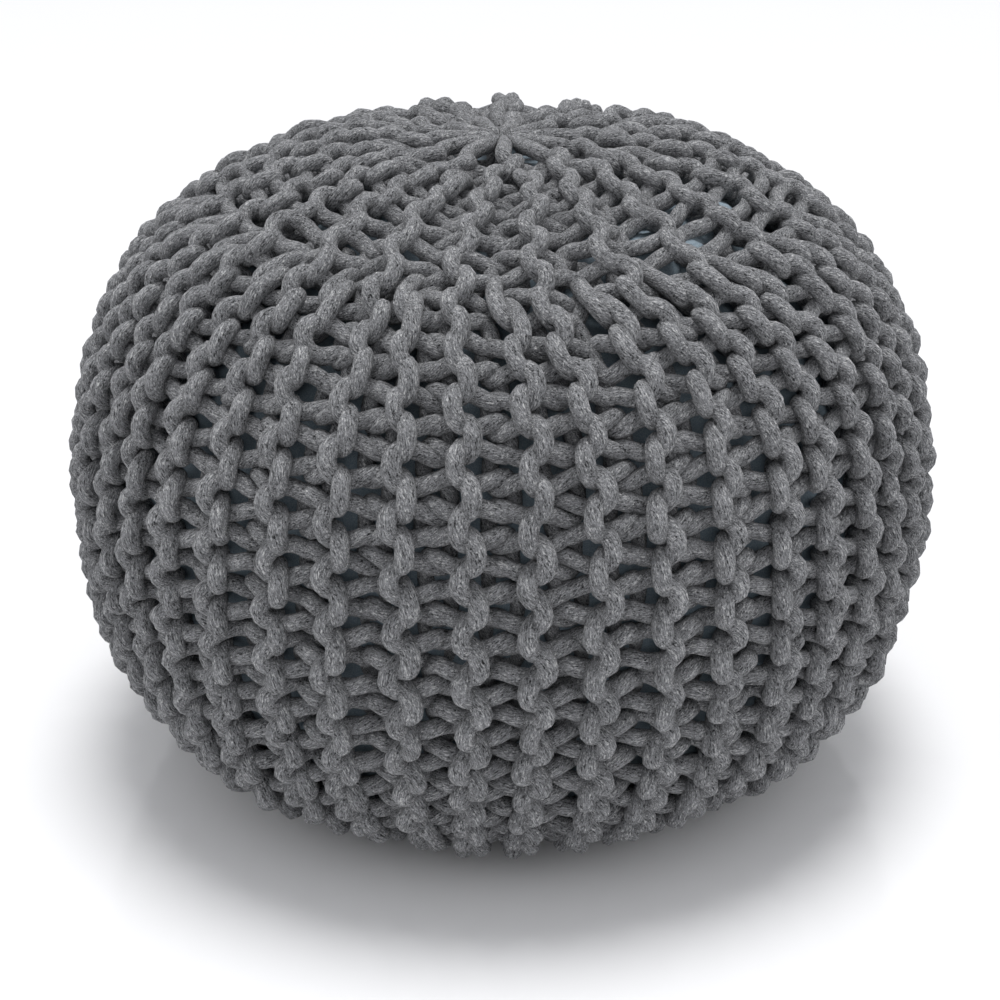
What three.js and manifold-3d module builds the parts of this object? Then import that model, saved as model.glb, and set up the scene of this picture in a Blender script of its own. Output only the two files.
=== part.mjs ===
// Hand-knitted round pouf. A cover of thick cotton cord, knitted in garter stitch and turned on its side so that
// its ridges run from pole to pole, is drawn closed over a filled cloth liner that shows through the open stitches.
// Millimetres, +Z up. The origin is on the floor, under the centre of the base.
import * as THREE from "three";
import { mergeVertices } from "three/addons/utils/BufferGeometryUtils.js";
import Module from "manifold-3d";

// The whole pouf, measured over the crests of the knit. The powers draw its outline: 1 is an ellipse, and a
// smaller one is squarer. The base is pressed flat by the floor.
const pouf = { radius: 250, bellyHeight: 153 };
const crown = { rise: 214.5, radiusPower: 0.6, heightPower: 0.88 };
const underside = { drop: 154.3, radiusPower: 0.37, heightPower: 1.14 };

// The cord and the stitch it is knitted into
const cord = { diameter: 9.5 };
const knit = {
  ridges: 44, // round the belly
  stitchLength: 30, // along a ridge: one loop to its left and one to its right
  thickness: 24.7, // from the crest of a ridge to the liner
  loopDip: 4, // how far a ridge dips beside a loop
  barDepth: 9, // how far the bars between two ridges lie below the crests
  gapDepth: 15, // how far the knit dips between two bars
  loopHalfWidth: 3.2, // a loop is at full height this far from its middle
  loopFoot: 7.5, // and has come down to the bars at this distance
};

// Ridges end in three steps towards both poles, because fewer of them fit round a smaller ring. The ones that go
// on to the pole close up into straight spokes.
const spokes = { radius: 72 };
const ridgeEnds = [
  { every: 4, fromRadius: 0 },
  { every: 2, fromRadius: spokes.radius },
  { every: 1, fromRadius: 152 },
];

// On the shoulder the stitches are stretched open: a dip deeper than the knit is thick goes through to the liner
const openGaps = { firstRow: 12, lastRow: 14, depth: 36 };

const liner = { clearance: 0.4, sides: 44, rows: 8 };
const flatBase = { radius: 58, hiddenBelow: 35 };

const wasm = await Module();
wasm.setup();

// Half outline of the pouf drawn in by inset, from the top pole to the edge of the flat base
function sideCurve(inset) {
  const samples = 160;
  const points = [];
  for (let i = 0; i <= samples; i++) {
    const turn = (Math.PI / 2) * (i / samples);
    const radius = (pouf.radius - inset) * Math.sin(turn) ** crown.radiusPower;
    const rise = (crown.rise - inset) * Math.cos(turn) ** crown.heightPower;
    points.push(new THREE.Vector2(radius, pouf.bellyHeight + rise));
  }
  for (let i = 1; i < samples; i++) {
    const turn = (Math.PI / 2) * (i / samples);
    const radius = (pouf.radius - inset) * Math.cos(turn) ** underside.radiusPower;
    const height = pouf.bellyHeight - (underside.drop - inset) * Math.sin(turn) ** underside.heightPower;
    points.push(new THREE.Vector2(radius, Math.max(height, inset)));
    if (height <= inset) break;
  }
  return new THREE.SplineCurve(points);
}

// Solid of revolution inside the knit, with a flat base
function turnedSolid(inset) {
  const profile = sideCurve(inset).getSpacedPoints(liner.rows);
  profile.push(new THREE.Vector2(0, inset));
  return new THREE.LatheGeometry(profile.reverse(), liner.sides).rotateX(Math.PI / 2);
}

function solidOf(geometry) {
  const bare = geometry.clone().deleteAttribute("normal").deleteAttribute("uv");
  const merged = mergeVertices(bare, 1e-3);
  const vertProperties = new Float32Array(merged.attributes.position.array);
  const triVerts = new Uint32Array(merged.index.array);
  return new wasm.Manifold(new wasm.Mesh({ numProp: 3, vertProperties, triVerts }));
}

function geometryOf(solid) {
  const { vertProperties, triVerts } = solid.getMesh();
  const geometry = new THREE.BufferGeometry();
  geometry.setAttribute("position", new THREE.BufferAttribute(vertProperties, 3));
  geometry.setIndex(new THREE.BufferAttribute(triVerts, 1));
  geometry.computeVertexNormals();
  return geometry;
}

// Rings of the knit, half a stitch apart down the side and a stitch apart on the straight spokes and under the
// belly, then the flat base. Each has its outward normal.
function knitRings() {
  const side = sideCurve(0);
  const steps = Math.round(side.getLength() / knit.stitchLength) * 2;
  const rings = [];
  side.getSpacedPoints(steps).forEach((point, row) => {
    const along = side.getTangentAt(row / steps);
    const normal = new THREE.Vector2(-along.y, along.x);
    const coarse = point.x < spokes.radius || point.y < flatBase.hiddenBelow;
    if (row % 2 === 0 || !coarse) rings.push({ row, point, normal, knitted: true });
  });
  rings[0].normal.set(0, 1);
  rings.at(-1).normal.set(0, -1);
  for (const radius of [flatBase.radius, 0]) {
    rings.push({ row: 0, point: new THREE.Vector2(radius, 0), normal: new THREE.Vector2(0, -1), knitted: false });
  }
  return rings;
}

const rings = knitRings();
const columnsPerRidge = 3; // its left loops, its right loops and the valley beside it
const columns = columnsPerRidge * knit.ridges;
const columnAngle = (2 * Math.PI) / columns;
const firstRidgeAngle = -Math.PI / knit.ridges; // half a ridge to the left, so that a valley faces the front

const ridgeStep = (radius) => ridgeEnds.findLast((end) => radius >= end.fromRadius).every;

// How far round a column is from the line of the nearest ridge on this ring, halfway between its columns 0 and 1
function fromRidge(radius, column) {
  const spacing = columnsPerRidge * ridgeStep(radius);
  const place = (column - 0.5 + columns) % spacing;
  return (place > spacing / 2 ? place - spacing : place) * columnAngle * radius;
}

// Height of a loop, from 1 over its middle to 0 at its foot
function loopHeight(distance, squeeze) {
  const fall = (knit.loopFoot - Math.abs(distance) / squeeze) / (knit.loopFoot - knit.loopHalfWidth);
  return THREE.MathUtils.clamp(fall, 0, 1);
}

// How far the knit dips between two ridges
function valleyDepth(row) {
  if (row % 2 === 1) return knit.barDepth;
  return row >= openGaps.firstRow && row <= openGaps.lastRow ? openGaps.depth : knit.gapDepth;
}

// How far a point of the knit lies below the crests. The left and right loops of a ridge take turns to stand up,
// and towards the pole they close up into one spoke.
function knitDepth({ row, point }, column) {
  const squeeze = Math.min(1, (point.x + cord.diameter) / spokes.radius);
  const across = fromRidge(point.x, column);
  const left = loopHeight(across + (squeeze * cord.diameter) / 2, squeeze);
  const right = loopHeight(across - (squeeze * cord.diameter) / 2, squeeze);
  const ridge = Math.max(left, right);
  const standing = row % 2 === 0 ? left : right;
  return (1 - ridge) * valleyDepth(row) + (ridge - standing) * squeeze * knit.loopDip;
}

function knitPoint(ring, column) {
  const depth = ring.knitted ? knitDepth(ring, column) : 0;
  const radius = Math.max(ring.point.x - ring.normal.x * depth, 0);
  const angle = firstRidgeAngle + (column - 0.5) * columnAngle;
  const height = Math.max(ring.point.y - ring.normal.y * depth, 0);
  return new THREE.Vector3(radius * Math.sin(angle), -radius * Math.cos(angle), height);
}

// Outer skin of the cover: a lathe of the outline whose points are raised into the knit
function knitSkin() {
  const outline = rings.map((ring) => ring.point).reverse();
  const skin = new THREE.LatheGeometry(outline, columns);
  const { position } = skin.attributes;
  for (let i = 0; i < position.count; i++) {
    const ring = rings[rings.length - 1 - (i % rings.length)];
    const column = Math.floor(i / rings.length) % columns;
    const { x, y, z } = knitPoint(ring, column);
    position.setXYZ(i, x, y, z);
  }
  return skin;
}

function knittedCover() {
  const cover = solidOf(knitSkin()).subtract(solidOf(turnedSolid(knit.thickness)));
  const yarn = new THREE.MeshStandardMaterial({ color: 0x67686a, roughness: 0.95, metalness: 0 });
  const mesh = new THREE.Mesh(geometryOf(cover), yarn);
  mesh.name = "knitted_cover";
  return mesh;
}

function linerCushion() {
  const cloth = new THREE.MeshStandardMaterial({ color: 0x93a2b0, roughness: 0.9, metalness: 0 });
  const mesh = new THREE.Mesh(turnedSolid(knit.thickness + liner.clearance), cloth);
  mesh.name = "liner_cushion";
  return mesh;
}

const knittedPouf = new THREE.Group();
knittedPouf.add(linerCushion(), knittedCover());

export default knittedPouf;
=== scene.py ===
# Hand-knitted round pouf: a cover of thick grey cotton cord, knitted in garter stitch and turned so that its
# ridges run from pole to pole, drawn closed over a filled liner of blue-grey cloth.
import math

import bpy
import numpy as np
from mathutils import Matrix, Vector


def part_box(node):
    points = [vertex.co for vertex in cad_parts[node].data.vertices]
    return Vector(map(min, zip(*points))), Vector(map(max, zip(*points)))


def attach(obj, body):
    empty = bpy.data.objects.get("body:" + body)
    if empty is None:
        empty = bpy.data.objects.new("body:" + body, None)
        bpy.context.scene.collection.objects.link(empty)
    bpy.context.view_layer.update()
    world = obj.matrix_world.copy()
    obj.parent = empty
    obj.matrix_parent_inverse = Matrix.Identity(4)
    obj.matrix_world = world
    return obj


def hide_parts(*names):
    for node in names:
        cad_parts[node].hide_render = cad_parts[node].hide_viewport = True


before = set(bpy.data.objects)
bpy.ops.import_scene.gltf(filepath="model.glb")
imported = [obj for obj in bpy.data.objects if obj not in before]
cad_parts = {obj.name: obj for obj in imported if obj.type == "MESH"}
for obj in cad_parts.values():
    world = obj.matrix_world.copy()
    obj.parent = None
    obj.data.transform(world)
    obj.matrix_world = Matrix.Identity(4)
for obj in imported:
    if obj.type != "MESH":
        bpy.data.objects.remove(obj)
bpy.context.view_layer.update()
mm = 0.001
seeded = np.random.default_rng(7)


def smoothStep(value, start, end):
    share = np.clip((value - start) / (end - start), 0, 1)
    return share * share * (3 - 2 * share)


def linearColour(hexCode):
    channels = [int(hexCode[i : i + 2], 16) / 255 for i in (1, 3, 5)]
    linear = [c / 12.92 if c <= 0.04045 else ((c + 0.055) / 1.055) ** 2.4 for c in channels]
    return (*linear, 1)


def addNode(material, kind, links=None, values=None, **settings):
    node = material.node_tree.nodes.new(kind)
    for name, value in settings.items():
        setattr(node, name, value)
    for name, value in (values or {}).items():
        node.inputs[name].default_value = value
    for name, socket in (links or {}).items():
        material.node_tree.links.new(socket, node.inputs[name])
    return node


def newMaterial(name):
    material = bpy.data.materials.new(name)
    material.use_nodes = True
    material.node_tree.nodes.clear()
    return material


def showShader(material, shader):
    addNode(material, "ShaderNodeOutputMaterial", {"Surface": shader.outputs[0]})


# The outline over the crests of the knit, from the frame's box: powers of 1 give an ellipse, less is squarer
coverLow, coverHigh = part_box("knitted_cover")
outline = {
    "radius": (coverHigh.x - coverLow.x) / 2 / mm,
    "height": coverHigh.z / mm,
    "bellyHeight": 153,
    "crownPowers": (0.6, 0.88),
    "undersideDrop": 154.3,
    "undersidePowers": (0.37, 1.14),
    "samples": 6000,
    "step": 0.5,  # between two points of the drawn line
    "softening": 12,  # the normals turn smoothly over this length
}


def drawOutline():
    turn = np.linspace(0, 1, outline["samples"]) ** 2 * math.pi / 2  # closer together at the pole
    radiusPower, heightPower = outline["crownPowers"]
    rise = outline["height"] - outline["bellyHeight"]
    crown = np.stack([
        outline["radius"] * np.sin(turn) ** radiusPower,
        outline["bellyHeight"] + rise * np.cos(turn) ** heightPower,
    ], 1)
    radiusPower, heightPower = outline["undersidePowers"]
    turn = np.linspace(0, math.pi / 2, outline["samples"])[1:-1]
    underside = np.stack([
        outline["radius"] * np.cos(turn) ** radiusPower,
        outline["bellyHeight"] - outline["undersideDrop"] * np.sin(turn) ** heightPower,
    ], 1)
    underside = underside[underside[:, 1] > 0]
    line = np.concatenate([crown, underside, [[0, 0]]])
    length = np.concatenate([[0], np.cumsum(np.linalg.norm(np.diff(line, axis=0), axis=1))])
    places = np.arange(0, length[-1], outline["step"])
    points = np.stack([np.interp(places, length, line[:, i]) for i in (0, 1)], 1)
    along = np.gradient(points, axis=0)
    width = int(outline["softening"] / outline["step"])
    padded = np.pad(along, ((width, width), (0, 0)), mode="edge")
    kernel = np.hanning(2 * width + 1)
    along = np.stack([np.convolve(padded[:, i], kernel / kernel.sum(), "valid") for i in (0, 1)], 1)
    normals = np.stack([-along[:, 1], along[:, 0]], 1)
    return places, points, normals / np.linalg.norm(normals, axis=1)[:, None]


outlinePlaces, outlinePoints, outlineNormals = drawOutline()


# Radius and height of the outline, or of its normals, at a place: a distance from the top pole, down the line
def onOutline(place, values):
    return [np.interp(place, outlinePlaces, values[:, i]) for i in (0, 1)]


# A point or a direction, turned about the axis by an angle from the front
def atAngle(angle, radius, height):
    return np.stack([radius * np.sin(angle), -radius * np.cos(angle), height], -1)


print("outline drawn:", round(outlinePlaces[-1]), "mm from pole to pole")

# The knit, in millimetres. Along a ridge, loops stand to its left and right by turns, and their legs cross
# the valleys as bars.
knit = {
    "ridges": 44,
    "cord": 9.5,  # diameter
    "frontRise": 11.7,  # of the loops over the bars
    "backRise": 7.8,  # of the bars over the loops at the back
    "legTurns": (45, 93, 139),  # degrees from a loop's middle to its shoulder, its edge and mid-valley
    "shoulderStitch": 30,
    "lowStitch": 25.5,  # the stitches close up under the belly
    "closingUp": (290, 440),  # between these places
    "firstRow": 214,  # a row of left loops lies this far from the pole
    "samples": 24,  # along one stitch of one row
    "sides": 10,
    "tightestBend": 0.85,  # share of a bend's radius that the cord may fill on its inside
    "longStart": 2.4,  # the first loop of a ridge is this much longer
    "lowStart": 6,  # and comes up from this far below
    "comingUp": (-0.5, 0.6),  # over this part of it, in stitches above its middle
}
ridgeStep = 2 * math.pi / knit["ridges"]
firstRidge = -ridgeStep / 2  # half a step to the left, so that a valley faces the front
cordRadius = knit["cord"] / 2
smallestTurn = 6  # radius near the pole below which a sideways step turns no further

# The crown is drawn wide, so its loops lie closer to one line; further down they stand side by side
loopForms = {
    "places": (150, 250, 310, 385),  # the columns below are for these places
    "shoulder": (0.26, 0.28, 0.28, 0.28),  # in stitches from a loop's middle to its leg
    "edge": (0.26, 0.27, 0.27, 0.27),
    "meeting": (0.21, 0.165, 0.165, 0.2),
    "side": (3.7, 4.3, 4.5, 4.8),  # millimetres from the line of the ridge
    "flat": (0.0, 0.04, 0.04, -0.05),  # more is straighter along the ridge
    "squeezed": (0.05, 0.1, 0.1, 0.12),  # the bars are this much narrower than the loops
    "tilt": (1.0, 0.0, 0.3, 4.0),  # the upper leg of two that meet lies this far before the valley
    "deep": (0.7, 0.95, 1.0, 1.0),  # the knit is stretched flatter on the crown
    "arch": (1.3, 1.75, 1.85, 2.1),  # power of the arch of a loop: more is rounder
    "thickness": (0.96, 1.03, 1.05, 1.1),  # drawn thin on the crown, loose under the belly
}

# On the right of the crown a few stitches are drawn open, and the liner is pressed out through them
openStitches = {
    "places": [(63, 139, 1.3), (44, 156, 1), (32, 144, 0.8)],  # degrees round, millimetres down, how wide
    "push": 8,  # millimetres that the cords give way, to the sides
    "reach": 17,
    "linerRise": 12,
}

# Three sine waves carry a leg through its three places, and it narrows from a loop to a bar on its way
legTurns = np.radians(knit["legTurns"])
legWaves = np.linalg.inv(np.sin(np.outer(legTurns, [1, 2, 3])))
legNarrows = (-0.64, 0.34)  # cosines, measured towards the back
legTiltPeak = 1.2  # about the height of the wave that tilts a leg


def stitchLength(place):
    share = smoothStep(place, *knit["closingUp"])
    return knit["shoulderStitch"] + (knit["lowStitch"] - knit["shoulderStitch"]) * share


stitchCount = np.cumsum(outline["step"] / stitchLength(outlinePlaces))
stitchCount -= np.interp(knit["firstRow"], outlinePlaces, stitchCount)


def stitchPlace(stitch):
    return np.interp(stitch, stitchCount, outlinePlaces)


def stitchAt(place):
    return np.interp(place, outlinePlaces, stitchCount)


# Every fourth ridge runs on to the poles as a spoke; the others start and end where there is room for them
ridgeKinds = [
    {"every": 4, "firstPlace": 40, "lastPlace": 672, "spoke": True},
    {"every": 2, "firstPlace": 70, "lastPlace": 645, "spoke": False},
    {"every": 1, "firstPlace": 190, "lastPlace": 570, "spoke": False},
]
ridgeRooms = {1: (48, 66, 648, 668), 2: (166, 184, 578, 598)}  # where the room beside a ridge changes
endTurn = {"reach": 8, "below": 1, "across": 0.6, "width": 0.85, "points": 8}  # where a cord turns back
spoke = {"tip": 3, "dip": 1.5, "points": 24, "straightens": (36, 76), "thinnest": 0.3}
crownPull = {"lean": math.radians(-4), "gather": 0.18, "middle": 150, "spread": 62}  # it is drawn askew
polePull = {"lean": math.radians(4), "spread": 60}
unevenness = {
    "along": 0.9,  # of a cord's place, in millimetres
    "across": 0.9,
    "depth": 0.6,
    "highest": 1.5,  # a loop stands up no further than this
    "sway": 2.0,  # of a whole ridge, sideways and along
    "drift": 1.5,
    "knots": 8,
    "fromPole": (20, 70),  # the spokes stay straight
    "thickness": 0.03,
    "surface": 0.02,
    "lump": 0.5,  # of the filling under the knit
    "lumpLengths": (60, 130),
    "lumpWaves": 8,
}
lumpLengths = seeded.uniform(*unevenness["lumpLengths"], unevenness["lumpWaves"])
lumpWays = seeded.normal(size=(unevenness["lumpWaves"], 3))
lumpWays *= (2 * math.pi / lumpLengths / np.linalg.norm(lumpWays, axis=1))[:, None]
lumpStarts = seeded.uniform(0, 2 * math.pi, unevenness["lumpWaves"])


def crownShare(place):
    return np.exp(-(((place - crownPull["middle"]) / crownPull["spread"]) ** 2))


def straightAngle(number):
    return firstRidge + number * ridgeStep


def ridgeAngle(number, place):
    pull = crownShare(place)
    straight = straightAngle(number)
    pulled = pull * (crownPull["lean"] * math.cos(straight) - crownPull["gather"] * math.sin(straight))
    pulled = pulled + polePull["lean"] * np.exp(-((place / polePull["spread"]) ** 4))
    if number % ridgeKinds[0]["every"] == 0:
        pulled = pulled + ridgeStep * (1 - smoothStep(place, *spoke["straightens"]))
    return straight + pulled


# From 0, where the ridges of a kind haven't begun or have ended, to 1
def shareThere(kind, place):
    start, full, ending, end = ridgeRooms[kind]
    return smoothStep(place, start, full) - smoothStep(place, ending, end)


# From the line of a ridge to the middle of the valley beside it, which narrows where more ridges begin
def roomBeside(ridge, place):
    first = shareThere(1, place)
    second = shareThere(2, place)
    steps = [4 - 2 * first - second, 2 - second, np.ones_like(place)][ridge["kind"]]  # to the next ridge
    pull = crownShare(place)
    narrowing = 1 - pull * crownPull["gather"] * math.cos(straightAngle(ridge["number"]))
    return 0.5 * steps * ridgeStep * narrowing * onOutline(place, outlinePoints)[0]


# The loops on one side of a ridge: the place of each point, how far across and out it lies, and its width
def loopRow(ridge, side, turns):
    middle = stitchPlace(ridge["firstStitch"] + turns / (2 * math.pi))
    form = {name: np.interp(middle, loopForms["places"], values) for name, values in loopForms.items()}
    legs = np.stack([form["shoulder"], form["edge"], form["meeting"]]) - legTurns[:, None] / (2 * math.pi)
    stitch = turns / (2 * math.pi) + (legWaves @ legs * np.sin(np.outer([1, 2, 3], turns))).sum(0)
    if not ridge["spoke"]:
        stitch = np.where(stitch < 0, stitch * knit["longStart"], stitch)
    stitch = stitch + (0.5 if side > 0 else 0)
    place = stitchPlace(ridge["firstStitch"] + stitch)
    room = roomBeside(ridge, place)
    swing = (np.cos(turns) - form["flat"] * np.cos(3 * turns)) / (1 - form["flat"])
    across = -side * (room / 2 - (room / 2 + form["side"]) * swing)
    rise = np.where(np.cos(turns) > 0, knit["frontRise"], -knit["backRise"])
    depth = rise * np.abs(np.cos(turns)) ** form["arch"]
    depth = depth + form["tilt"] * np.sin(turns) * (1 - np.cos(turns)) / legTiltPeak
    depth = knit["frontRise"] - (knit["frontRise"] - depth) * form["deep"]
    if not ridge["spoke"]:
        depth = depth - knit["lowStart"] * smoothStep(-stitch, *knit["comingUp"])
    narrowing = 1 - form["squeezed"] * smoothStep(-np.cos(turns), *legNarrows)
    return np.stack([place, across, depth, narrowing], 1)


def curveThrough(points, count):
    points = np.array(points, float)
    padded = np.concatenate([[2 * points[0] - points[1]], points, [2 * points[-1] - points[-2]]])
    result = []
    for share in np.linspace(0, len(points) - 1, count + 2)[1:-1]:
        i = min(int(share), len(points) - 2)
        t = share - i
        a, b, c, d = padded[i : i + 4]
        result.append(0.5 * (2 * b + (c - a) * t + (2 * a - 5 * b + 4 * c - d) * t**2
                             + (3 * b - a - 3 * c + d) * t**3))
    return np.array(result)


def hiddenTurn(start, end, outwards):
    reach = endTurn["reach"] * outwards
    low = -knit["backRise"] - endTurn["below"]
    first = (start[0] + reach, start[1] * endTurn["across"], low, endTurn["width"])
    last = (end[0] + reach, end[1] * endTurn["across"], low, endTurn["width"])
    return curveThrough([start, first, last, end], endTurn["points"])


def spokeEnd(hidden, loop, outwards):
    pole = 0 if outwards < 0 else outlinePlaces[-1]
    tip = pole - outwards * spoke["tip"]
    top = knit["frontRise"]
    low = -knit["backRise"]
    reach = loop[0] - tip
    points = [  # place, across, depth and width: out to the tip at the back, and in again at the front
        hidden,
        (tip + reach * 0.7, hidden[1] * 0.3, low, 0.8),
        (tip + reach * 0.35, 0, low, 0.8),
        (tip + reach * 0.1, 0, low * 0.6, 0.8),
        (tip, 0, top * 0.3, 0.9),
        (tip + reach * 0.14, 0, top - spoke["dip"], 1),
        (tip + reach * 0.45, loop[1] * 0.15, top - spoke["dip"] * 0.4, 1),
        (tip + reach * 0.75, loop[1] * 0.6, top, 1),
        loop,
    ]
    return curveThrough(points, spoke["points"])


# One closed cord: up as right loops and down as left loops, with a turn or a spoke at both ends
def ridgePath(ridge):
    count = ridge["stitches"]
    samples = knit["samples"]
    half = samples // 2
    full = np.arange(-half, count * samples + half + 1) * 2 * math.pi / samples
    left = loopRow(ridge, -1, full)
    right = loopRow(ridge, 1, full[: count * samples + 1])[::-1]
    if ridge["spoke"]:
        left = left[half:-half]
        above = spokeEnd(right[-1], left[0], -1)
        below = spokeEnd(right[0], left[-1], 1)[::-1]
    else:
        above = hiddenTurn(right[-1], left[0], -1)
        below = hiddenTurn(left[-1], right[0], 1)
    return np.concatenate([right, above, left, below])


def softNoise(count, spread):
    kernel = np.exp(-0.5 * (np.arange(-3 * spread, 3 * spread + 1) / spread) ** 2)
    values = seeded.normal(size=count + len(kernel) - 1)
    return np.convolve(values, kernel / np.sqrt((kernel**2).sum()), "valid")


def lumps(ridge, place):
    points = atAngle(straightAngle(ridge["number"]), *onOutline(place, outlinePoints))
    return unevenness["lump"] * np.sin(points @ lumpWays.T + lumpStarts).sum(1)


def pushApart(place, angle, radius):
    for spotAngle, spotPlace, wide in openStitches["places"]:
        down = place - spotPlace
        across = (angle - math.radians(spotAngle) + math.pi) % (2 * math.pi) - math.pi
        across = across * radius
        distance = np.hypot(down, across)
        push = wide * openStitches["push"] * np.exp(-((distance / openStitches["reach"]) ** 4))
        push = push / np.maximum(distance, 2)
        place = place + push * down
        angle = angle + push * across / np.maximum(radius, smallestTurn)
    return place, angle


# The path of a cord as hands knit it, uneven in its place, depth and thickness
def unevenPath(ridge):
    place, across, depth, narrowing = ridgePath(ridge).T
    count = len(place)
    quarter = knit["samples"] // 4
    pole = np.minimum(place, outlinePlaces[-1] - place)
    free = smoothStep(pole, *unevenness["fromPole"])
    knots = np.linspace(0, outlinePlaces[-1], unevenness["knots"])
    sway = np.interp(place, knots, seeded.normal(size=len(knots)) * unevenness["sway"])
    drift = np.interp(place, knots, seeded.normal(size=len(knots)) * unevenness["drift"])
    place = place + free * (softNoise(count, quarter) * unevenness["along"] + drift)
    across = across + free * (softNoise(count, quarter) * unevenness["across"] + sway)
    depth = depth + free * (softNoise(count, quarter) * unevenness["depth"])
    depth = np.minimum(depth, knit["frontRise"] + unevenness["highest"])
    thickness = np.interp(place, loopForms["places"], loopForms["thickness"])
    thickness = thickness * (1 + unevenness["thickness"] * softNoise(count, quarter))
    place = np.clip(place, 0, outlinePlaces[-1])
    return place, across, depth + lumps(ridge, place), thickness, narrowing


def cordLine(ridge):
    place, across, depth, thickness, narrowing = unevenPath(ridge)
    outlineRadius, outlineHeight = onOutline(place, outlinePoints)
    normalRadius, normalHeight = onOutline(place, outlineNormals)
    spokes = knit["ridges"] / ridgeKinds[0]["every"]
    room = outlineRadius * math.sin(math.pi / spokes) / cordRadius
    room = np.maximum(room, spoke["thinnest"])  # where the spokes meet, they share what there is
    inwards = depth - knit["frontRise"] - cordRadius * np.minimum(room, 1)
    radius = np.maximum(outlineRadius + normalRadius * inwards, 1)
    thickness = cordRadius * np.minimum(thickness, room)
    height = np.maximum(outlineHeight + normalHeight * inwards, thickness)
    angle = ridgeAngle(ridge["number"], place) + across / np.maximum(radius, smallestTurn)
    place, angle = pushApart(place, angle, radius)  # sideways: a cord keeps its radius and height
    points = atAngle(angle, radius, height)
    outwards = atAngle(angle, *onOutline(place, outlineNormals))
    return points, thickness, narrowing, outwards


# Rings along closed cords of one length, which don't turn about the cord except to close up at its end
def cordRings(along):
    count = along.shape[1]
    side = np.zeros_like(along)
    first = np.cross(along[:, 0], [0, 0, 1])
    side[:, 0] = first / np.linalg.norm(first, axis=1)[:, None]
    for i in range(count - 1):
        turned = side[:, i] - along[:, i + 1] * (side[:, i] * along[:, i + 1]).sum(1)[:, None]
        side[:, i + 1] = turned / np.linalg.norm(turned, axis=1)[:, None]
    closing = side[:, -1] - along[:, 0] * (side[:, -1] * along[:, 0]).sum(1)[:, None]
    closing /= np.linalg.norm(closing, axis=1)[:, None]
    up = np.cross(along[:, 0], side[:, 0])
    twist = np.arctan2((closing * up).sum(1), (closing * side[:, 0]).sum(1))
    spin = -twist[:, None] * np.arange(count) / count
    other = np.cross(along, side)
    around = np.arange(knit["sides"]) * 2 * math.pi / knit["sides"] + spin[:, :, None]
    ring = side[:, :, None] * np.cos(around)[..., None] + other[:, :, None] * np.sin(around)[..., None]
    return around, ring


# A sharp bend is pressed flat on its inside, it doesn't fold over
def pressBends(ring, along, span):
    bend = (np.roll(along, -1, 1) - np.roll(along, 1, 1)) / span
    sharpness = np.maximum(np.linalg.norm(bend, axis=2), 1e-6)[:, :, None]
    inside = (bend / sharpness)[:, :, None]
    folded = np.maximum((ring * inside).sum(3) - knit["tightestBend"] / sharpness, 0)
    return ring - inside * folded[..., None]


# Where each point of the skin lies in its cord, for a pattern that follows the yarns
def placesInCord(points, thickness, around):
    steps = np.linalg.norm(np.diff(points, axis=1), axis=2)
    length = np.concatenate([np.zeros((len(points), 1)), np.cumsum(steps, 1)], 1)
    lay = around + length[:, :, None] * 2 * math.pi / cottonCord["lay"]
    reach = np.broadcast_to(length[:, :, None], lay.shape)
    starts = seeded.uniform(0, cottonCord["longest"], len(points))
    return np.stack([
        thickness[:, :, None] * np.cos(lay),
        thickness[:, :, None] * np.sin(lay),
        reach + starts[:, None, None],
    ], -1)


def sweepCord(lines):
    points, thickness, narrowing, outwards = (np.stack(values) for values in zip(*lines))
    along = np.roll(points, -1, 1) - np.roll(points, 1, 1)
    span = np.linalg.norm(along, axis=2)[:, :, None]
    along /= span
    around, ring = cordRings(along)
    level = np.cross(along, outwards)
    level /= np.linalg.norm(level, axis=2)[:, :, None]
    sideways = (ring * level[:, :, None]).sum(3)
    ring -= level[:, :, None] * (sideways * (1 - narrowing)[:, :, None])[..., None]
    rough = 1 + unevenness["surface"] * seeded.normal(size=around.shape)
    ring = ring * (thickness[:, :, None] * rough)[..., None]
    skin = points[:, :, None] + pressBends(ring, along, span)
    skin[..., 2] = np.maximum(skin[..., 2], 0)  # the floor presses the base flat
    return skin, placesInCord(points, thickness, around)


def ringFaces(rings):
    sides = knit["sides"]
    ring = np.arange(rings)[:, None] * sides
    nextRing = (np.arange(rings)[:, None] + 1) % rings * sides
    corner = np.arange(sides)[None]
    nextCorner = (corner + 1) % sides
    faces = np.stack([ring + corner, ring + nextCorner, nextRing + nextCorner, nextRing + corner], -1)
    return faces.reshape(-1, 4)


def meshFromCords(name, skins, inCords, material):
    faces = []
    start = 0
    for skin in skins:
        faces.append(ringFaces(len(skin)) + start)
        start += len(skin) * knit["sides"]
    faces = np.concatenate(faces)
    points = np.concatenate([skin.reshape(-1, 3) for skin in skins]) * mm
    mesh = bpy.data.meshes.new(name)
    mesh.vertices.add(len(points))
    mesh.vertices.foreach_set("co", points.astype(np.float32).ravel())
    mesh.loops.add(faces.size)
    mesh.loops.foreach_set("vertex_index", faces.astype(np.int32).ravel())
    mesh.polygons.add(len(faces))
    mesh.polygons.foreach_set("loop_start", np.arange(0, faces.size, 4, dtype=np.int32))
    mesh.polygons.foreach_set("use_smooth", np.ones(len(faces), bool))
    places = np.concatenate([inCord.reshape(-1, 3) for inCord in inCords])
    attribute = mesh.attributes.new("inCord", "FLOAT_VECTOR", "POINT")
    attribute.data.foreach_set("vector", places.astype(np.float32).ravel())
    mesh.update(calc_edges=True)
    mesh.materials.append(material)
    piece = bpy.data.objects.new(name, mesh)
    bpy.context.collection.objects.link(piece)
    return piece


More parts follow.
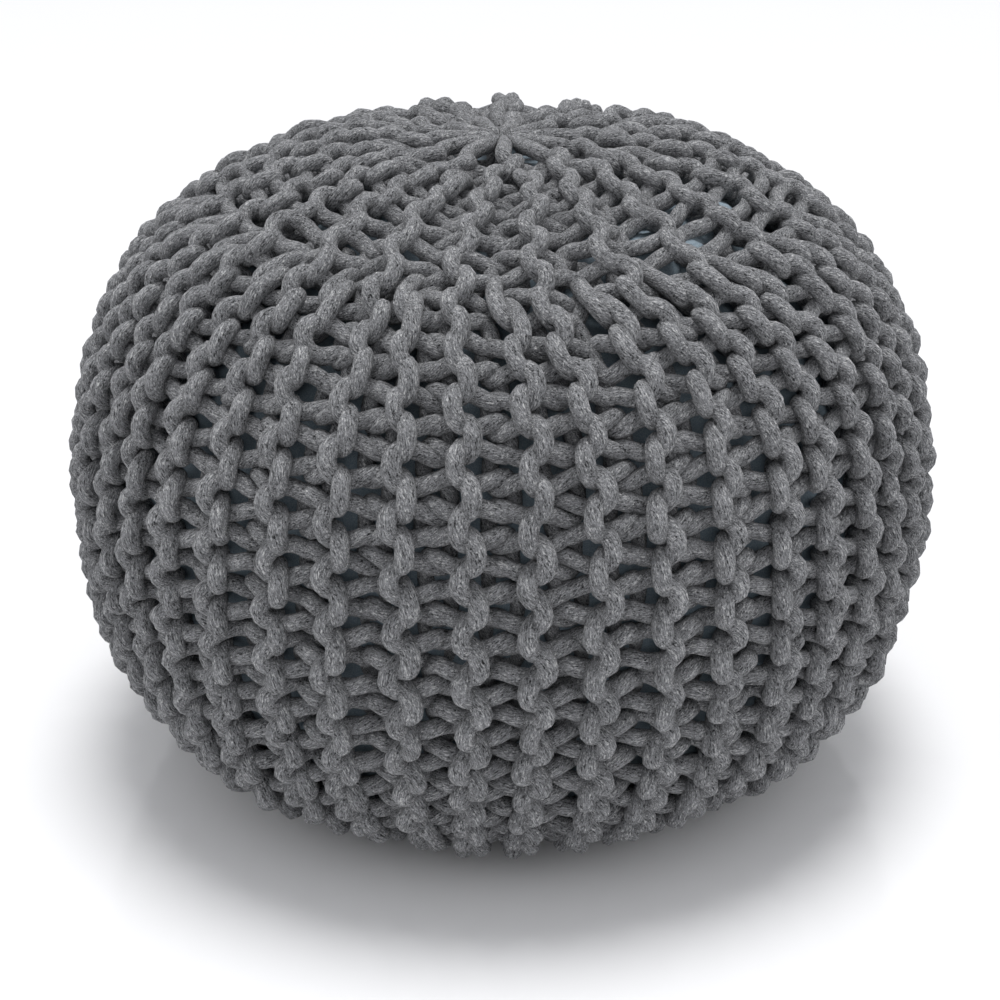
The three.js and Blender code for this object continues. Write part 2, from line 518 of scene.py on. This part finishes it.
# Cotton cord, spun from fine undyed and grey fibres and loosely laid: matt and flecked, with painted shade in
# the pits and grooves between its yarns
cottonCord = {
    "lay": 90,  # millimetres in which the yarns go once round the cord
    "longest": 5000,  # each cord is cut from somewhere in this length
    # The dark end is painted shade for the pits and grooves between the yarns; middle, pale and light are the
    # marled fibres' own tones
    "dark": (0.38, "#141517"),  # height of a fibre, and its colour
    "middle": (0.48, "#767779"),
    "pale": (0.55, "#8c8d90"),
    "light": (0.66, "#d0d0d0"),
    "level": 0.02,
    "fleck": {"size": (0.85, 0.85, 1.2), "weight": 0.66, "bend": 0.8},  # across, across and along
    "yarn": {"size": (1.8, 1.8, 6), "weight": 0.2, "bend": 0.4},
    "patch": {"size": 7, "weight": 0.12},
    "yarnLines": {"round": 22, "weight": 0.016, "wander": 12},
    "relief": 2.4,  # millimetres
}


def makeCottonCord():
    material = newMaterial("cotton_cord_marled_grey_painted_pit_shade")
    place = addNode(material, "ShaderNodeAttribute", attribute_name="inCord").outputs["Vector"]
    # Fibres and yarns: noise in two sizes, drawn out along the cord
    relief = None
    for fibres in (cottonCord["fleck"], cottonCord["yarn"]):
        scale = tuple(1 / width for width in fibres["size"])
        scaled = addNode(material, "ShaderNodeVectorMath", {0: place}, {1: scale}, operation="MULTIPLY")
        noise = addNode(material, "ShaderNodeTexNoise", {"Vector": scaled.outputs[0]},
                        {"Scale": 1, "Detail": 2, "Roughness": 0.7, "Distortion": fibres["bend"]})
        links = {0: noise.outputs["Fac"]}
        values = {1: fibres["weight"], 2: cottonCord["level"]}
        if relief:
            links[2] = relief.outputs[0]
        relief = addNode(material, "ShaderNodeMath", links, values, operation="MULTIPLY_ADD")
    # Paler and darker patches, which also make the lines between the yarns wander
    patch = cottonCord["patch"]
    patches = addNode(material, "ShaderNodeTexNoise", {"Vector": place},
                      {"Scale": 1 / patch["size"], "Detail": 2}).outputs["Fac"]
    lines = cottonCord["yarnLines"]
    parts = addNode(material, "ShaderNodeSeparateXYZ", {0: place}).outputs
    around = addNode(material, "ShaderNodeMath", {0: parts["Y"], 1: parts["X"]}, operation="ARCTAN2")
    wander = addNode(material, "ShaderNodeMath", {0: patches}, {1: lines["wander"]}, operation="MULTIPLY")
    wave = addNode(material, "ShaderNodeMath", {0: around.outputs[0], 2: wander.outputs[0]},
                   {1: lines["round"]}, operation="MULTIPLY_ADD")
    wave = addNode(material, "ShaderNodeMath", {0: wave.outputs[0]}, operation="COSINE")
    relief = addNode(material, "ShaderNodeMath", {0: wave.outputs[0], 2: relief.outputs[0]},
                     {1: lines["weight"]}, operation="MULTIPLY_ADD")
    mixed = addNode(material, "ShaderNodeMath", {0: patches, 2: relief.outputs[0]},
                    {1: patch["weight"]}, operation="MULTIPLY_ADD")
    # Low places are painted near-black as shade in the pits and grooves between the yarns; higher fibres run
    # from mid grey to the pale undyed ones
    ramp = addNode(material, "ShaderNodeValToRGB", {"Fac": mixed.outputs[0]})
    shades = ramp.color_ramp.elements
    for i, name in enumerate(("dark", "light")):
        height, colour = cottonCord[name]
        shades[i].position = height
        shades[i].color = linearColour(colour)
    for name in ("middle", "pale"):
        height, colour = cottonCord[name]
        shades.new(height).color = linearColour(colour)
    bump = addNode(material, "ShaderNodeBump", {"Height": relief.outputs[0]},
                   {"Strength": 1, "Distance": cottonCord["relief"] * mm})
    shader = addNode(material, "ShaderNodeBsdfPrincipled",
                     {"Base Color": ramp.outputs["Color"], "Normal": bump.outputs["Normal"]},
                     {"Roughness": 0.92, "Specular IOR Level": 0.15, "Sheen Weight": 0.15})
    showShader(material, shader)
    return material


def makeRidges():
    groups = {}
    for number in range(knit["ridges"]):
        kind = next(i for i, ends in enumerate(ridgeKinds) if number % ends["every"] == 0)
        ends = ridgeKinds[kind]
        firstStitch = round(stitchAt(ends["firstPlace"]))
        stitches = int(stitchAt(ends["lastPlace"]) - firstStitch)
        ridge = {"number": number, "kind": kind, "spoke": ends["spoke"], "firstStitch": firstStitch,
                 "stitches": stitches}
        groups.setdefault(kind, []).append(ridge)
    cords = {}
    for ridges in groups.values():
        skin, inCord = sweepCord([cordLine(ridge) for ridge in ridges])
        for i, ridge in enumerate(ridges):
            cords[ridge["number"]] = (skin[i], inCord[i])
    return cords


coverParts = {"names": ["front_right", "right_back", "back", "left_back", "left_front"], "body": "root"}


def makeKnittedCover():
    cords = makeRidges()
    material = makeCottonCord()
    order = sorted(cords)
    share = math.ceil(len(order) / len(coverParts["names"]))
    for i, place in enumerate(coverParts["names"]):
        numbers = order[i * share : (i + 1) * share]
        skins, inCords = zip(*[cords[number] for number in numbers])
        piece = meshFromCords("knit_" + place, skins, inCords, material)
        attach(piece, coverParts["body"])
        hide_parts("knitted_cover")
        print(piece.name, len(piece.data.polygons) * 2, "triangles")


makeKnittedCover()


# Plain-woven cotton liner: matt blue-grey cloth, drawn smooth by the filling
linerCloth = {
    "dark": (0.3, "#6a7883"),  # height of a thread, and its colour
    "light": (0.7, "#8f9da6"),
    "thread": 0.6,  # millimetres, drawn a little coarser than it is so that it shows
    "relief": 0.3,
    "voxel": 5,
    "bulge": 1.016,  # it presses into the back of the knit
    "pressure": 4,
    "frames": 20,
    "swell": 3,  # millimetres that a point may move
    "fill": 0.85,
}


def makeLinerCloth():
    material = newMaterial("cotton_liner_woven_blue_grey")
    place = addNode(material, "ShaderNodeTexCoord").outputs["Object"]
    threads = addNode(material, "ShaderNodeTexNoise", {"Vector": place},
                      {"Scale": 1 / (linerCloth["thread"] * mm), "Detail": 2})
    ramp = addNode(material, "ShaderNodeValToRGB", {"Fac": threads.outputs["Fac"]})
    shades = ramp.color_ramp.elements
    for i, name in enumerate(("dark", "light")):
        height, colour = linerCloth[name]
        shades[i].position = height
        shades[i].color = linearColour(colour)
    bump = addNode(material, "ShaderNodeBump", {"Height": threads.outputs["Fac"]},
                   {"Strength": 0.3, "Distance": linerCloth["relief"] * mm})
    shader = addNode(material, "ShaderNodeBsdfPrincipled",
                     {"Base Color": ramp.outputs["Color"], "Normal": bump.outputs["Normal"]},
                     {"Roughness": 0.85, "Specular IOR Level": 0.25})
    showShader(material, shader)
    return material


def makeLiner():
    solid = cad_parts["liner_cushion"]
    piece = bpy.data.objects.new("liner_bag", solid.data.copy())
    bpy.context.collection.objects.link(piece)
    bpy.ops.object.select_all(action="DESELECT")
    piece.select_set(True)
    bpy.context.view_layer.objects.active = piece
    piece.data.materials.clear()
    bpy.ops.object.mode_set(mode="EDIT")
    bpy.ops.mesh.select_all(action="SELECT")
    bpy.ops.mesh.remove_doubles(threshold=0.1 * mm)
    low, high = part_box("liner_cushion")
    bpy.ops.transform.resize(value=(linerCloth["bulge"],) * 3, center_override=(low + high) / 2)
    bpy.ops.object.mode_set(mode="OBJECT")
    piece.data.remesh_voxel_size = linerCloth["voxel"] * mm
    bpy.ops.object.voxel_remesh()
    pressThroughOpenings(piece)
    swellLiner(piece)
    bpy.ops.object.shade_smooth()
    piece.data.materials.append(makeLinerCloth())
    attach(piece, "root")
    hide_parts("liner_cushion")
    print("liner", len(piece.data.polygons), "faces")


def pressThroughOpenings(piece):
    points = np.zeros(len(piece.data.vertices) * 3)
    piece.data.vertices.foreach_get("co", points)
    points = points.reshape(-1, 3)
    inset = coverHigh.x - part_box("liner_cushion")[1].x
    for spotAngle, place, wide in openStitches["places"]:
        turn = math.radians(spotAngle)
        outwards = atAngle(turn, *onOutline(place, outlineNormals))
        spot = atAngle(turn, *onOutline(place, outlinePoints))
        distance = np.linalg.norm(points - spot * mm + outwards * inset, axis=1)
        distance = distance / (openStitches["reach"] * mm)
        rise = wide * openStitches["linerRise"] * mm
        points = points + np.exp(-(distance**2))[:, None] * outwards * rise
    piece.data.vertices.foreach_set("co", points.ravel())
    piece.data.update()


def swellLiner(piece):
    count = len(piece.data.vertices)
    before = np.zeros(count * 3)
    piece.data.vertices.foreach_get("co", before)
    cloth = piece.modifiers.new("filling", "CLOTH")
    cloth.settings.use_pressure = True
    cloth.settings.uniform_pressure_force = linerCloth["pressure"]
    cloth.settings.effector_weights.gravity = 0
    for number in range(1, linerCloth["frames"] + 1):
        bpy.context.scene.frame_set(number)
    bpy.ops.object.modifier_apply(modifier=cloth.name)
    after = np.zeros(count * 3)
    piece.data.vertices.foreach_get("co", after)
    moved = (after - before).reshape(-1, 3)
    distance = np.linalg.norm(moved, axis=1)
    limit = np.minimum(1, linerCloth["swell"] * mm / np.maximum(distance, 1e-9))
    held = before.reshape(-1, 3) + moved * limit[:, None]
    piece.data.vertices.foreach_set("co", held.ravel())
    piece.data.update()
    bpy.context.scene.frame_set(1)


makeLiner()


# Plain pale floor, a broad light overhead with a pale sky, and the photograph's view
studio = {
    "floor": "#ededee",
    "floorSize": 80,
    "floorRoughness": 0.12,
    "sky": "#fbfcff",
    "skyStrength": 0.7,
    "lightFrom": (0.02, 0.1, 1),
    "lightWidth": 0.4,  # radians
    "lightStrength": 2.1,
    "sidesFrom": [(-1.6, -0.9, 0.9), (1.6, -0.9, 0.9)],
    "sideSize": 1.2,
    "sideStrength": 4,
}
view = {
    "distance": 1.3,  # metres from the middle of the belly
    "elevation": 23.77,  # degrees
    "aim": (-0.0007, 0, 0.1441),
    "lens": 78.95,
}


def makeFloor():
    bpy.ops.object.select_all(action="DESELECT")
    bpy.ops.mesh.primitive_plane_add(size=studio["floorSize"])
    floor = bpy.context.object
    floor.name = "floor"
    material = newMaterial("painted_floor_white")
    shader = addNode(material, "ShaderNodeBsdfPrincipled", None,
                     {"Base Color": linearColour(studio["floor"]), "Roughness": studio["floorRoughness"]})
    showShader(material, shader)
    floor.data.materials.append(material)


def addLamp(kind, place, strength):
    bpy.ops.object.light_add(type=kind, location=place)
    lamp = bpy.context.object
    lamp.data.energy = strength
    lamp.rotation_euler = (-lamp.location).to_track_quat("-Z", "Y").to_euler()
    return lamp


def makeLights():
    world = bpy.data.worlds.new("studio")
    world.use_nodes = True
    sky = world.node_tree.nodes["Background"]
    sky.inputs["Color"].default_value = linearColour(studio["sky"])
    sky.inputs["Strength"].default_value = studio["skyStrength"]
    bpy.context.scene.world = world
    overhead = addLamp("SUN", studio["lightFrom"], studio["lightStrength"])
    overhead.data.angle = studio["lightWidth"]
    for place in studio["sidesFrom"]:
        side = addLamp("AREA", place, studio["sideStrength"])
        side.data.size = studio["sideSize"]


def makeCamera():
    tilt = math.radians(view["elevation"])
    place = Vector((0, -math.cos(tilt), math.sin(tilt))) * view["distance"]
    place.z += outline["bellyHeight"] * mm
    bpy.ops.object.camera_add(location=place)
    camera = bpy.context.object
    camera.data.lens = view["lens"]
    camera.rotation_euler = (Vector(view["aim"]) - place).to_track_quat("-Z", "Y").to_euler()
    bpy.context.scene.camera = camera


makeFloor()
makeLights()
makeCamera()
bpy.context.scene.view_settings.view_transform = "Standard"
print("studio ready")
